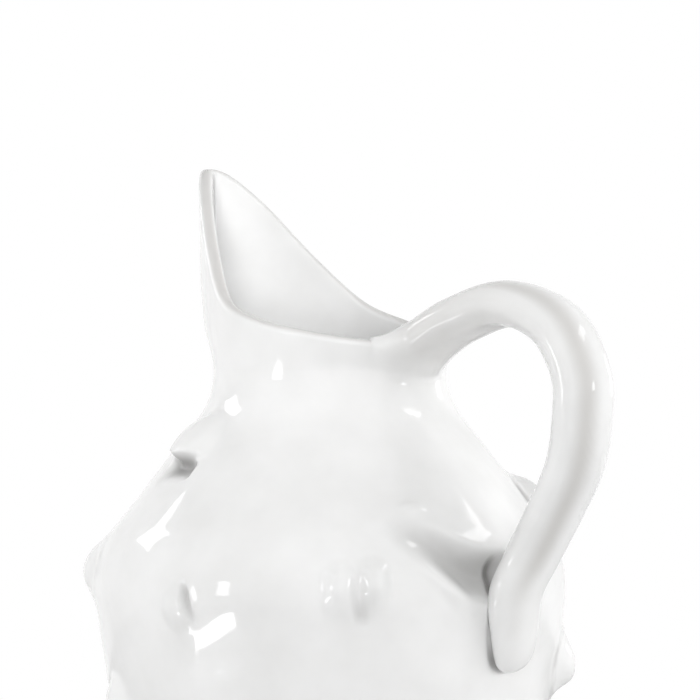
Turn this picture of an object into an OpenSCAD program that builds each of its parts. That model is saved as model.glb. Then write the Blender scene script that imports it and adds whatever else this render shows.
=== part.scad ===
// Hand-built glazed jug with a tall pointed beak, a looped strap handle and rows of pinched thorns.
// Millimetres, +Z up, origin at the centre of the foot's underside.
// The handle is on +X and the beak on -X.

/* [Belly] */
// Diameter of the foot
foot_d = 95; // [85:1:105]
// Diameter at the widest line of the belly
belly_d = 150.4; // [140:0.2:160]
// Height of the widest line
belly_z = 96; // [90:1:102]
// Radius of the turn from the lower wall into the shoulder
belly_turn_r = 34; // [26:1:38]
// Radius of the swell of the lower wall
lower_swell_r = 265; // [230:5:320]
// Thickness of the belly's wall
wall_t = 4.6; // [3.6:0.1:5.6]
// Thickness of the floor above the recess under the foot
floor_t = 5.5; // [4:0.5:8]
// Width of the ring that the jug stands on
foot_ring_w = 8; // [5:1:12]
// Depth of the recess inside the foot ring
foot_recess = 2.5; // [1:0.5:4]

/* [Neck and beak] */
// Diameter of the neck at its waist
waist_d = 75.2; // [70:0.2:81]
// Height of the waist
waist_z = 164.5; // [160:0.5:170]
// Radius of the cove between shoulder and neck
cove_r = 26; // [20:1:32]
// Height of the lip above the waist on the handle's side
lip_back_h = 9; // [7:0.5:12]
// Height of the beak's tip above the waist
beak_h = 66; // [56:0.5:76]
// Reach of the beak's tip from the axis, at the middle of the lip
beak_reach = 54; // [49:0.5:59]
// Distance of the lip from the axis on the handle's side
lip_back_r = 36.4; // [34:0.2:38]
// Half of the mouth's width at the axis
lip_side_r = 34.4; // [32:0.2:37]
// Thickness of the lip
lip_t = 4.4; // [3.4:0.1:5.4]

/* [Handle] */
// Farthest reach of the strap's middle from the axis
handle_reach = 101.5; // [92:0.5:112]
// Height of the strap's middle above the waist at the top of the loop
handle_rise = 20.5; // [15:0.5:27]
// Distance of the pad's lower end below the widest line
handle_drop = 17; // [12:0.5:22]
// Thickness of the strap at the top of the loop
strap_t = 14.4; // [12:0.2:17]
// Width of the strap at the top of the loop
strap_w = 22.8; // [18:0.2:27]

/* [Thorns] */
// Height of a thorn above the wall
thorn_h = 6; // [4:0.2:8]
// Diameter of a thorn where its flared root meets the wall
thorn_d = 16; // [13:0.5:19]
// Radius of a thorn's blunt tip
thorn_tip_r = 2.8; // [2:0.1:3.4]
// Height between one row of thorns and the next
row_pitch = 32; // [28:1:35]

/* [Hidden] */
foot_r = foot_d/2;
belly_r = belly_d/2;
waist_r = waist_d/2;
base_t = foot_recess + floor_t;
lip_r = lip_t/2;
glaze = [0.95, 0.95, 0.94];

// Cuts and sunk roots run past the surface by this length
overrun = 4;
// Greatest length of a straight piece of the wall's outline
wall_step = 4;
// Points between two stations of the lip, along the neck's wall and over the lip
lip_points = 5;
neck_steps = 9;
lip_steps = 5;
// Sides of the strap, and rings between two of its stations
strap_sides = 20;
strap_rings = 4;
// Points along a thorn's flank and over its tip
thorn_steps = 6;
// Sides of the round pieces, and of the thorns
round_sides = 240;
thorn_sides = 48;

// Centres of the belly's turn, the neck's cove and the lower wall's swell, as [radius, height]
turn_c = [belly_r - belly_turn_r, belly_z];
cove_c = [waist_r + cove_r, waist_z];
swell_c = meeting_point(turn_c, lower_swell_r - belly_turn_r, [foot_r, 0], lower_swell_r);
// Tilt above level of the line square to the wall, on the straight shoulder and where swell meets turn
shoulder_a = tangent_tilt(turn_c, belly_turn_r, cove_c, cove_r);
swell_a = atan2(turn_c.y - swell_c.y, turn_c.x - swell_c.x);

// Point at given distances from two centres
function meeting_point(a, a_dist, b, b_dist) =
    let (d = norm(b - a),
         u = (b - a)/d,
         s = (a_dist*a_dist - b_dist*b_dist + d*d)/(2*d))
    a + u*s + [u.y, -u.x]*sqrt(a_dist*a_dist - s*s);

// Tilt of the normal of the line that runs between two circles and touches both
function tangent_tilt(a, a_r, b, b_r) =
    let (v = b - a)
    atan2(v.y, v.x) - acos((a_r + b_r)/norm(v));

// Radius of the belly's wall at height z, measured to its skin or to a depth below it
function wall_r(z, depth = 0) =
    let (swell_r = lower_swell_r - depth,
         turn_r = belly_turn_r - depth,
         hollow_r = cove_r + depth)
    z < swell_c.y + swell_r*sin(swell_a) ? swell_c.x + sqrt(swell_r*swell_r - pow(z - swell_c.y, 2)) :
    z < turn_c.y + turn_r*sin(shoulder_a) ? turn_c.x + sqrt(turn_r*turn_r - pow(z - turn_c.y, 2)) :
    z < cove_c.y - hollow_r*sin(shoulder_a) ?
        turn_c.x + (turn_r - (z - turn_c.y)*sin(shoulder_a))/cos(shoulder_a) :
    cove_c.x - sqrt(hollow_r*hollow_r - pow(min(z, waist_z) - cove_c.y, 2));

// Tilt above level of the line square to the belly's skin at height z
function wall_tilt(z) =
    z < swell_c.y + lower_swell_r*sin(swell_a) ? asin((z - swell_c.y)/lower_swell_r) :
    min(shoulder_a, asin(min(1, (z - turn_c.y)/belly_turn_r)));

// Outline of the wall from one height to another, at a depth below the skin
function wall_line(z0, z1, depth = 0) =
    let (n = ceil(abs(z1 - z0)/wall_step))
    [for (i = [0:n]) let (z = z0 + (z1 - z0)*i/n) [wall_r(z, depth), z]];

// Point on the smooth curve that runs through a list of stations; s counts stations
function station(list, i, closed) =
    closed ? list[(i + len(list)) % len(list)] : list[max(0, min(len(list) - 1, i))];
function curve(list, s, closed) =
    let (i = closed ? floor(s) : min(floor(s), len(list) - 2),
         f = s - i,
         p = [for (k = [-1:2]) station(list, i + k, closed)])
    p[1] + f*(p[2] - p[0])/2
    + f*f*(2*p[0] - 5*p[1] + 4*p[2] - p[3])/2
    + f*f*f*(3*p[1] - p[0] - 3*p[2] + p[3])/2;
// Direction of that curve, taken over a small share of a station on either side
slope_share = 0.05;
function slope(list, s, closed) = curve(list, s + slope_share, closed) - curve(list, s - slope_share, closed);

// Triangles of a tube whose rings have n points each; in a closed one the last ring joins the first
function tube_faces(rings, n, closed) = [
    for (r = [0:rings - (closed ? 1 : 2)])
        for (i = [0:n - 1])
            let (a = r*n + i,
                 b = r*n + (i + 1) % n,
                 c = ((r + 1) % rings)*n + (i + 1) % n,
                 d = ((r + 1) % rings)*n + i)
            each [[a, b, c], [a, c, d]]];

// Stations of half the lip, from the handle's side to the beak's tip: share of the way along the mouth,
// share of its half width, and share of the beak's rise
half_lip_shares = [
    [0, 0, 0], [0.06, 0.55, 0.015], [0.21, 0.915, 0.065], [0.395, 1, 0.13], [0.568, 0.925, 0.24],
    [0.724, 0.68, 0.5], [0.862, 0.405, 0.79], [0.955, 0.17, 0.96], [1, 0, 1]];
half_lip = [for (s = half_lip_shares) [
    lip_back_r - s[0]*(lip_back_r + beak_reach),
    s[1]*lip_side_r,
    waist_z + lip_back_h + s[2]*(beak_h - lip_back_h)]];
half_count = len(half_lip) - 1;
lip = concat(half_lip, [for (i = [half_count - 1:-1:1]) [half_lip[i].x, -half_lip[i].y, half_lip[i].z]]);
section_count = len(lip)*lip_points;

// Share of the way from the waist's round to the lip's outline, at a share of the neck's height: a high
// rise power brings the flare low down the neck, and the start power softens its start at the waist
rise_power = 8;
start_power = 1.5;
function flare_share(v) = pow(1 - pow(1 - v, rise_power), start_power);

// Point of the neck at section i: v is the share of its height, side is 1 outside and -1 inside
function lip_point(i) = curve(lip, i/lip_points, true);
function lip_normal(i) =
    let (d = slope(lip, i/lip_points, true))
    [d.y, -d.x, 0]/norm([d.x, d.y]);
function neck_point(i, v, side) =
    let (p = lip_point(i),
         edge = p + lip_normal(i)*lip_r*side - [0, 0, lip_r],
         a = atan2(p.y, p.x),
         r = waist_r - (side < 0 ? wall_t : 0),
         f = flare_share(v))
    [r*cos(a)*(1 - f) + edge.x*f, r*sin(a)*(1 - f) + edge.y*f, waist_z + (edge.z - waist_z)*v];
function lip_round(i, a) =
    lip_point(i) + lip_normal(i)*lip_r*cos(a) + [0, 0, lip_r*(sin(a) - 1)];
function neck_skin(i) = [for (k = [0:neck_steps]) neck_point(i, k/neck_steps, 1)];
function neck_lining(i) = [for (k = [neck_steps:-1:0]) neck_point(i, k/neck_steps, -1)];
function lip_over(i) = [for (k = [1:lip_steps - 1]) lip_round(i, 180*k/lip_steps)];

// Strap stations from the lip to the pad's end: share of the way out from the wall to the reach, share of
// the height between the pad's end and the top of the loop, share of the thickness, share of the width
strap_shares = [
    [-0.03, 0.845, 1.5, 1.25], [0.08, 0.91, 1.22, 1.12], [0.27, 0.962, 1.06, 1.04], [0.553, 1, 1, 1],
    [0.845, 0.94, 1.03, 1.02], [0.99, 0.805, 1, 1], [1, 0.68, 1, 1], [0.94, 0.54, 0.99, 0.98],
    [0.7, 0.4, 0.97, 0.94], [0.35, 0.285, 0.95, 0.96], [0.085, 0.185, 0.85, 1.06],
    [0.01, 0.095, 0.68, 1], [0, 0, 0.5, 0.7]];
// Sizes of the rings that close the strap's ends, from the middle out
cap_shares = [0.1, 0.35, 0.6, 0.82, 0.95];
// Depth of the strap's rounded upper end, as a share of its thickness
root_dome_share = 0.3;
strap_low_z = belly_z - handle_drop;
strap_top_z = waist_z + handle_rise;
strap = [for (s = strap_shares)
    let (z = strap_low_z + s[1]*(strap_top_z - strap_low_z),
         r = wall_r(z))
    [r + s[0]*(handle_reach - r), z, s[2]*strap_t/2, s[3]*strap_w/2]];

// Radius of the surface that the strap is pressed on: belly, neck behind the mouth, and crest of the lip
function seat_r(z) =
    let (h = z - waist_z - lip_back_h + lip_r)
    z < waist_z ? wall_r(z) :
    h < 0 ? waist_r + (lip_back_r + lip_r - waist_r)*flare_share((z - waist_z)/(lip_back_h - lip_r)) :
    h < lip_r ? lip_back_r + sqrt(lip_r*lip_r - h*h) : 0;

// Soft clay pressed on the jug: a point below the surface comes out to it
function pressed(p) =
    let (share = max(1, seat_r(p.z)/norm([p.x, p.y])))
    [p.x*share, p.y*share, p.z];

// Ring of the strap at s stations along it, at a share of its size, moved on along the strap
function strap_ring(s, size_share = 1, onward = 0) =
    let (p = curve(strap, s, false),
         d = slope(strap, s, false),
         u = [d.x, d.y]/norm([d.x, d.y]))
    [for (k = [0:strap_sides - 1])
        let (a = 360*k/strap_sides,
             out = p[2]*size_share*cos(a),
             side = p[3]*size_share*sin(a))
        pressed([p.x + u.x*onward + u.y*out, -side, p.y + u.y*onward - u.x*out])];

// Thorn rows from the shoulder down: name, row pitches above the widest line, then for each thorn its
// direction round the jug in degrees, its lift as a share of the pitch and its size as a share of a full one
thorn_row_shares = [
    ["shoulder_thorn", 1,
        [[-108, 0.34, 1.05], [-25, -0.15, 0.8], [47, -0.12, 1.05], [119, 0.15, 1], [183, -0.1, 0.95]]],
    ["belly_thorn", 0,
        [[-138, 0.2, 0.9], [-85, -0.07, 1], [-41, 0.03, 0.9], [64, 0.05, 1], [116, -0.12, 1.05],
         [169, 0.1, 1]]],
    ["lower_thorn", -1,
        [[-117, -0.06, 0.9], [-68, -0.42, 1], [-17, -0.4, 0.95], [42, 0.23, 1.2], [97, -0.1, 1],
         [150, -0.2, 1], [198, 0.05, 1]]],
    ["foot_thorn", -2,
        [[-140, -0.1, 0.9], [-94, -0.2, 0.95], [-44, -0.25, 0.85], [14, -0.1, 0.9], [70, -0.2, 0.95],
         [124, -0.05, 0.9], [174, -0.2, 0.9]]]];
// Hollow of a thorn's flank, where 1 is straight, and the angle round the tip at which the flank ends
thorn_flare = 1.3;
thorn_tip_a = 38;
function thorn_name(row, i) = str(row[0], "_", i + 1);

// Floor slab with a ring to stand on; the lower wall rises from its edge
module base() {
    color(glaze)
    rotate_extrude($fn = round_sides)
    polygon(concat(
        [[0, foot_recess], [foot_r - foot_ring_w - foot_recess, foot_recess], [foot_r - foot_ring_w, 0]],
        wall_line(0, base_t),
        [[0, base_t]]));
}

// Ring of wall between two heights
module wall_ring(z0, z1) {
    color(glaze)
    rotate_extrude($fn = round_sides)
    polygon(concat(wall_line(z0, z1), wall_line(z1, z0, wall_t)));
}

module lower_wall() {
    wall_ring(base_t, belly_z);
}

module shoulder() {
    wall_ring(belly_z, waist_z);
}

// Everything inside the belly's skin, to seat what is pressed on it
module belly_core() {
    rotate_extrude($fn = round_sides)
    polygon(concat([[0, 0]], wall_line(0, waist_z), [[0, waist_z]]));
}

// Neck drawn up into the beak: skin, rounded lip and lining in one loft
module neck_and_beak() {
    sections = [for (i = [0:section_count - 1]) concat(neck_skin(i), lip_over(i), neck_lining(i))];
    color(glaze)
    polyhedron([for (s = sections) each s], tube_faces(section_count, len(sections[0]), true));
}

// Pulled strap, pressed on the lip above and on the belly below, with a rounded end to its pad
module handle() {
    last = len(strap) - 1;
    end_r = strap[last][3];
    rings = concat(
        [for (share = cap_shares) strap_ring(0, share, -root_dome_share*strap_t*sqrt(1 - share*share))],
        [for (k = [0:last*strap_rings]) strap_ring(k/strap_rings)],
        [for (share = [for (i = [1:len(cap_shares)]) cap_shares[len(cap_shares) - i]])
            strap_ring(last, share, end_r*sqrt(1 - share*share))]);
    color(glaze)
    polyhedron(
        [for (r = rings) each r],
        concat(
            tube_faces(len(rings), strap_sides, false),
            [[for (k = [strap_sides - 1:-1:0]) k]],
            [[for (k = [0:strap_sides - 1]) (len(rings) - 1)*strap_sides + k]]));
}

// Pinched cone of clay with a flared root and a blunt tip, along +X from the wall
module thorn(size) {
    root_r = size*thorn_d/2;
    tip_r = size*thorn_tip_r;
    tip_x = size*thorn_h - tip_r;
    flank_end = [tip_r*cos(thorn_tip_a), tip_x + tip_r*sin(thorn_tip_a)];
    rotate([0, 90, 0])
    rotate_extrude($fn = thorn_sides)
    polygon(concat(
        [[0, -overrun], [root_r + overrun, -overrun]],
        [for (k = [0:thorn_steps - 1])
            let (h = k/thorn_steps,
                 flare = pow(1 - h, thorn_flare))
            [flank_end.x + (root_r - flank_end.x)*flare, flank_end.y*h]],
        [for (k = [0:thorn_steps])
            let (a = thorn_tip_a + (90 - thorn_tip_a)*k/thorn_steps)
            [tip_r*cos(a), tip_x + tip_r*sin(a)]]));
}

module seated_thorn(row, i) {
    place = row[2][i];
    z = belly_z + (row[1] + place[1])*row_pitch;
    color(glaze)
    difference() {
        rotate([0, 0, place[0]])
        translate([wall_r(z), 0, z])
        rotate([0, -wall_tilt(z), 0])
        thorn(place[2]);
        belly_core();
    }
}

base();
lower_wall();
shoulder();
neck_and_beak();
handle();
for (row = thorn_row_shares)
    for (i = [0:len(row[2]) - 1])
        seated_thorn(row, i);
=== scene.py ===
import bisect
import math

import bpy
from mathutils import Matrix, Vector


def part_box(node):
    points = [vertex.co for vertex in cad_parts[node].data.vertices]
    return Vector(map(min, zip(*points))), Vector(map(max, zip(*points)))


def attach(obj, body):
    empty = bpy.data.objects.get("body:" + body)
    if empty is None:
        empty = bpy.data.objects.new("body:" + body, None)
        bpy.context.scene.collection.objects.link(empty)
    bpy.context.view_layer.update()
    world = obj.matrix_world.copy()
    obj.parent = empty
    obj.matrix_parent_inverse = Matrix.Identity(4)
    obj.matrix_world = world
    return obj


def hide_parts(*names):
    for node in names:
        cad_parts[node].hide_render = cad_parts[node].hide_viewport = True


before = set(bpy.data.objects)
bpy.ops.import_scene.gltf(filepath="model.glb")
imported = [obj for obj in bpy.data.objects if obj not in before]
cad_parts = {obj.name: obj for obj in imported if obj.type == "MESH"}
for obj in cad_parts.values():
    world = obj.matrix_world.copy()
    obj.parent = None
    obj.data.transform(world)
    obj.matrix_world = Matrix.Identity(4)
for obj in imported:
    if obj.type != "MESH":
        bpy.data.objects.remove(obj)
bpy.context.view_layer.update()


# The vessel: a round belly thrown on the wheel, with a neck that is drawn up by hand into a tall beak.
# Pale earthenware under a thick white gloss glaze, which is wiped off the ring that it stands on.
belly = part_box("lower_wall")[1]
belly_r = belly.x
belly_z = belly.z
floor_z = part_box("base")[1].z
waist_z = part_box("shoulder")[1].z
neck_low, neck_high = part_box("neck_and_beak")
waist_r = neck_high.y
foot_r = 0.0475
foot_ring_w = 0.008
foot_recess = 0.0025
foot_round = 0.0012
recess_flat_share = 0.9
floor_round = 0.012
floor_bend = 0.95 * floor_round
floor_edge_share = 0.1
wall_t = 0.0046
turn_r = 0.034
swell_r = 0.265
cove_r = 0.026
lip_r = 0.0022
lip_side_r = 0.0344
lip_back_z = waist_z + 0.009
rise_power = 9
start_power = 2
near_columns = 240
far_columns = 90
recess_rows = 6
swell_rows = 32
marked_rows = 84
shoulder_rows = 14
neck_rows = 36
lip_rows = 12
throat_rows = 24
lining_rows = 34
corner_rows = 8
floor_rows = 9
marked_low_z = 0.068
marked_high_z = 0.142
low_rise = 0.01
high_rise = 0.045
low_rise_power = 2.5
lip_shade_from = 0.3
merge_gap = 0.00001
unevenness = 0.003
uneven_spread = 0.034
uneven_middle = 0.64
uneven_seed = 3.0
uneven_detail = 1.0
even_below_z = 0.002
uneven_above_z = 0.03

# The outline is a long swell, a turn at the widest line, a straight shoulder and a cove up to the waist.
turn_c = Vector((belly_r - turn_r, belly_z))
cove_c = Vector((waist_r + cove_r, waist_z))


def meeting_point(a, a_dist, b, b_dist):
    """The point that lies at the given distances from two centres."""
    apart = b - a
    along = apart.normalized()
    share = (a_dist**2 - b_dist**2 + apart.length**2) / (2 * apart.length)
    across = Vector((along.y, -along.x))
    return a + along * share + across * math.sqrt(a_dist**2 - share**2)


swell_c = meeting_point(turn_c, swell_r - turn_r, Vector((foot_r, 0)), swell_r)
swell_a = math.atan2(turn_c.y - swell_c.y, turn_c.x - swell_c.x)
turn_to_cove = cove_c - turn_c
shoulder_a = math.atan2(turn_to_cove.y, turn_to_cove.x) - math.acos((turn_r + cove_r) / turn_to_cove.length)


def wall_radius(z, depth=0.0):
    """Radius of the belly's wall at a height, to its skin or to a depth below it."""
    swell = swell_r - depth
    turn = turn_r - depth
    cove = cove_r + depth
    if z < swell_c.y + swell * math.sin(swell_a):
        return swell_c.x + math.sqrt(swell**2 - (z - swell_c.y) ** 2)
    if z < turn_c.y + turn * math.sin(shoulder_a):
        return turn_c.x + math.sqrt(turn**2 - (z - turn_c.y) ** 2)
    if z < cove_c.y - cove * math.sin(shoulder_a):
        return turn_c.x + (turn - (z - turn_c.y) * math.sin(shoulder_a)) / math.cos(shoulder_a)
    return cove_c.x - math.sqrt(cove**2 - (min(z, waist_z) - cove_c.y) ** 2)


def wall_tilt(z):
    """How far the belly's wall leans in for each step up."""
    step = 0.0005
    return (wall_radius(z - step) - wall_radius(z + step)) / (2 * step)


def spread(low, high, steps):
    """Even steps from one value to another, both ends counted."""
    return [low + (high - low) * i / steps for i in range(steps + 1)]


def rounded(before, corner, after, radius, steps=5):
    """Points of a soft corner between two straight lines of an outline."""
    start = corner + (before - corner).normalized() * radius
    end = corner + (after - corner).normalized() * radius
    return [start.lerp(corner, t).lerp(corner.lerp(end, t), t) for t in spread(0, 1, steps)]


# The section of the wall from the middle of the underside, up the outside, over the lip and down the
# inside to the middle of the floor. A point is radius, height, share of the neck, side and top of the lip.
recess_middle = Vector((0, foot_recess))
recess_edge = Vector((foot_r - foot_ring_w - foot_recess, foot_recess))
ring_inside = Vector((foot_r - foot_ring_w, 0))
ring_outside = Vector((foot_r, 0))
above_ring = Vector((wall_radius(2 * foot_round), 2 * foot_round))
floor_corner = Vector((wall_radius(floor_z, wall_t), floor_z))
above_floor = Vector((wall_radius(floor_z + floor_round, wall_t), floor_z + floor_round))
floor_middle = Vector((0, floor_z))
foot_line = [recess_middle.lerp(recess_edge, t) for t in spread(0, recess_flat_share, recess_rows)]
foot_line += rounded(recess_middle, recess_edge, ring_inside, foot_round)
foot_line += rounded(recess_edge, ring_inside, ring_outside, foot_round)
foot_line += rounded(ring_inside, ring_outside, above_ring, foot_round)
skin_heights = spread(2 * foot_round, marked_low_z, swell_rows)[:-1]
skin_heights += spread(marked_low_z, marked_high_z, marked_rows)
skin_heights += spread(marked_high_z, waist_z, shoulder_rows)[1:]
skin_line = [Vector((wall_radius(z), z)) for z in skin_heights]
lining_heights = spread(waist_z, floor_z + floor_round, lining_rows)
lining_line = [Vector((wall_radius(z, wall_t), z)) for z in lining_heights]
floor_line = rounded(above_floor, floor_corner, floor_middle, floor_bend, corner_rows)[1:]
floor_line += [floor_line[-1].lerp(floor_middle, t) for t in spread(floor_edge_share, 1, floor_rows)]
section = [(p.x, p.y, 0, 0, 0) for p in foot_line + skin_line]
section += [(waist_r, waist_z, k, 1, 0) for k in spread(0, 1, neck_rows)[1:]]
section += [(waist_r, waist_z, 1, math.cos(a), math.sin(a)) for a in spread(0, math.pi, lip_rows)[1:-1]]
section += [(waist_r - wall_t, waist_z, k, -1, 0) for k in spread(1, 0, throat_rows)[:-1]]
section += [(p.x, p.y, 0, 0, 0) for p in lining_line + floor_line]


def guide_lines(name, points, edges, **readings):
    """Points and edges to build along, with a reading of each kind at every point."""
    lines = bpy.data.meshes.new(name)
    lines.from_pydata(points, edges, [])
    for kind, values in readings.items():
        lines.attributes.new(kind, "FLOAT", "POINT").data.foreach_set("value", values)
    return lines


def guide_line(name, points, closed=False, **readings):
    """One line of points to build along, with a reading of each kind at every point."""
    count = len(points)
    edges = [(i, (i + 1) % count) for i in range(count if closed else count - 1)]
    return guide_lines(name, points, edges, **readings)


def put_in_scene(name, content):
    """An object in the scene for a mesh, a lamp or a camera."""
    thing = bpy.data.objects.new(name, content)
    bpy.context.scene.collection.objects.link(thing)
    return thing


skin_count = len(foot_line) + len(skin_line)
section_kinds = ("round_r", "round_z", "neck_share", "lip_side", "lip_top")
wall_section = guide_line(
    "wall_section",
    [(r, 0, z) for r, z, _, _, _ in section],
    skin=[1 if i < skin_count else 0 for i in range(len(section))],
    **dict(zip(section_kinds, zip(*section))),
)

# Half of the lip from the handle's side to the beak's tip: share of the way along the mouth, share of its
# half width and share of the beak's rise.
half_lip_shares = (
    (0, 0, 0),
    (0.06, 0.55, 0.015),
    (0.21, 0.915, 0.065),
    (0.395, 1, 0.13),
    (0.568, 0.925, 0.24),
    (0.724, 0.68, 0.5),
    (0.862, 0.405, 0.79),
    (0.955, 0.17, 0.96),
    (1, 0, 1),
)
lip_back_x = neck_high.x - lip_r
beak_x = neck_low.x + lip_r
mouth_length = beak_x - lip_back_x
beak_rise = neck_high.z - lip_back_z
half_lip = [
    (lip_back_x + along * mouth_length, across * lip_side_r, lip_back_z + up * beak_rise)
    for along, across, up in half_lip_shares
]
lip_points = half_lip + [(x, -y, z) for x, y, z in half_lip[-2:0:-1]]


def spline_loop(points, steps):
    """Points of a smooth closed line through the given points."""
    loop = []
    for i in range(len(points)):
        a, b, c, d = (Vector(points[(i + k) % len(points)]) for k in (-1, 0, 1, 2))
        for t in spread(0, 1, steps)[:-1]:
            curve = b * 2 + (c - a) * t + (a * 2 - b * 5 + c * 4 - d) * t**2
            loop.append((curve + (b * 3 - a - c * 3 + d) * t**3) / 2)
    return loop


steps_between_lip_points = 40
lip_loop = spline_loop(lip_points, steps_between_lip_points)
lip_turns = [math.degrees(math.atan2(p.y, p.x)) % 360 for p in lip_loop] + [360]
lip_loop.append(lip_loop[0])


def lip_at_turn(turn):
    """The point of the lip at an angle round the axis."""
    i = min(bisect.bisect_right(lip_turns, turn), len(lip_turns) - 1)
    share = (turn - lip_turns[i - 1]) / (lip_turns[i] - lip_turns[i - 1])
    return lip_loop[i - 1].lerp(lip_loop[i], share)


column_turns = spread(0, 180, far_columns)[:-1] + spread(180, 360, near_columns)[:-1]
lip_line = guide_line("lip_wire", [lip_at_turn(turn) for turn in column_turns], closed=True)
lip_wire = put_in_scene("lip_wire", lip_line)

# Strokes pressed in the soft wall: angle round the axis, height, depth, half width and how much painted
# shade darkens it. A depth below zero is a fold that stands up. The thumb leaves broad strokes, the tool
# narrow ones.
thumb_strokes = (
    (
        (-34, 0.12, 0, 0.007, 0),
        (-28, 0.116, 0.0014, 0.008, 0.16),
        (-22, 0.112, 0.004, 0.0088, 0.3),
        (-15, 0.1065, 0.0068, 0.0095, 0.42),
        (-9, 0.1035, 0.008, 0.0095, 0.45),
        (-2, 0.1025, 0.007, 0.0095, 0.4),
        (5, 0.103, 0.003, 0.008, 0.2),
    ),
    (
        (-45.8, 0.1035, -0.0032, 0.0064, 0),
        (-45.8, 0.099, -0.0032, 0.0064, 0),
        (-45.2, 0.092, -0.0006, 0.006, 0),
        (-44.8, 0.086, 0, 0.005, 0),
    ),
    (
        (-37.7, 0.1045, -0.0036, 0.0064, 0),
        (-37.7, 0.1, -0.0036, 0.0064, 0),
        (-38.2, 0.0925, -0.0006, 0.006, 0),
        (-38.6, 0.086, 0, 0.005, 0),
    ),
)
tool_strokes = (
    (
        (-28, 0.111, 0, 0.005, 0),
        (-23, 0.1065, -0.0008, 0.005, 0),
        (-18, 0.1, -0.0014, 0.0055, 0),
        (-14, 0.094, -0.0004, 0.005, 0),
    ),
    (
        (-4, 0.109, 0, 0.0024, 0.1),
        (-2.8, 0.1055, 0.0008, 0.003, 0.9),
        (-3, 0.1, 0.0012, 0.0032, 1),
        (-5, 0.0955, 0.0016, 0.0028, 0.8),
        (-6.6, 0.09, 0.001, 0.0026, 0.2),
        (-6.2, 0.083, 0.001, 0.0028, 0.25),
        (-4.6, 0.0775, 0.0014, 0.0034, 0.6),
        (-2.2, 0.0752, 0.0014, 0.0032, 0.5),
        (0, 0.075, 0.0008, 0.0026, 0.2),
        (2, 0.0755, 0, 0.0024, 0),
    ),
    (
        (-119, 0.1342, 0, 0.0045, 0),
        (-115, 0.1342, 0.0036, 0.0056, 0.7),
        (-103, 0.1342, 0.0036, 0.0056, 0.7),
        (-99, 0.1342, 0, 0.0045, 0),
    ),
    (
        (-84, 0.1015, 0, 0.0016, 0),
        (-83.4, 0.0985, 0.002, 0.0021, 0.4),
        (-82.2, 0.0935, 0.0018, 0.002, 0.35),
        (-80.8, 0.088, 0, 0.0016, 0),
    ),
    (
        (-41.8, 0.1035, 0, 0.0035, 0),
        (-41.4, 0.098, 0.001, 0.0035, 0),
        (-40.8, 0.0925, 0.0016, 0.0032, 0.2),
        (-40.4, 0.0885, 0, 0.003, 0),
    ),
)


def stroke_lines(name, strokes):
    """Lines on the wall's skin with the depth, the half width and the painted shade of each stroke."""
    points = []
    edges = []
    for stroke in strokes:
        edges += [(len(points) + i, len(points) + i + 1) for i in range(len(stroke) - 1)]
        points += stroke
    turns, heights, depths, widths, painted_shade_amounts = zip(*points)
    skin = []
    for turn, z in zip(turns, heights):
        spoke = Vector((math.cos(math.radians(turn)), math.sin(math.radians(turn)), 0))
        skin.append(spoke * wall_radius(z) + Vector((0, 0, z)))
    lines = guide_lines(name, skin, edges, depth=depths, width=widths, bare=painted_shade_amounts)
    return put_in_scene(name, lines)


thumb_lines = stroke_lines("thumb_lines", thumb_strokes)
tool_lines = stroke_lines("tool_lines", tool_strokes)


def new_tree(name, **inputs):
    """An empty node tree with a geometry input, the named inputs and a geometry output."""
    tree = bpy.data.node_groups.new(name, "GeometryNodeTree")
    tree.interface.new_socket("Geometry", in_out="INPUT", socket_type="NodeSocketGeometry")
    for label, kind in inputs.items():
        tree.interface.new_socket(label, in_out="INPUT", socket_type="NodeSocket" + kind)
    tree.interface.new_socket("Geometry", in_out="OUTPUT", socket_type="NodeSocketGeometry")
    return tree, tree.nodes.new("NodeGroupInput").outputs


def add(tree, kind, *values, **settings):
    """The outputs of a new node, its inputs linked or set in order; None leaves an input as it is."""
    node = tree.nodes.new(kind)
    for setting, value in settings.items():
        setattr(node, setting, value)
    open_inputs = [s for s in node.inputs if s.enabled]
    for socket, value in zip(open_inputs, values):
        if isinstance(value, bpy.types.NodeSocket):
            tree.links.new(value, socket)
        elif value is not None:
            socket.default_value = value
    return [s for s in node.outputs if s.enabled]


def number(tree, operation, *values):
    return add(tree, "ShaderNodeMath", *values, operation=operation)[0]


def plus(tree, a, b):
    return number(tree, "ADD", a, b)


def minus(tree, a, b):
    return number(tree, "SUBTRACT", a, b)


def times(tree, product, *others):
    for other in others:
        product = number(tree, "MULTIPLY", product, other)
    return product


def ranged(tree, value, low, high, at_low=0.0, at_high=1.0, **settings):
    """A number that runs from one end to the other while a value goes from low to high."""
    return add(tree, "ShaderNodeMapRange", value, low, high, at_low, at_high, **settings)[0]


def eased(tree, *values):
    """The same, with a soft start and a soft end."""
    return ranged(tree, *values, interpolation_type="SMOOTHSTEP")


def vector(tree, operation, *values):
    return add(tree, "ShaderNodeVectorMath", *values, operation=operation)[0]


def moved(tree, place, step):
    return vector(tree, "ADD", place, step)


def unit(tree, way):
    return vector(tree, "NORMALIZE", way)


def scaled(tree, way, factor):
    node = tree.nodes.new("ShaderNodeVectorMath")
    node.operation = "SCALE"
    tree.links.new(way, node.inputs["Vector"])
    if isinstance(factor, bpy.types.NodeSocket):
        tree.links.new(factor, node.inputs["Scale"])
    else:
        node.inputs["Scale"].default_value = factor
    return node.outputs["Vector"]


def mixed(tree, share, first, second):
    return add(tree, "ShaderNodeMix", share, first, second, data_type="VECTOR")[0]


def straight_up(tree, height):
    return add(tree, "ShaderNodeCombineXYZ", 0.0, 0.0, height)[0]


def spoke_to(tree, place):
    """The level way from the axis towards a place."""
    return unit(tree, vector(tree, "MULTIPLY", place, (1, 1, 0)))


def here(tree):
    return add(tree, "GeometryNodeInputPosition")[0]


def normal_here(tree):
    return add(tree, "GeometryNodeInputNormal")[0]


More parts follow.
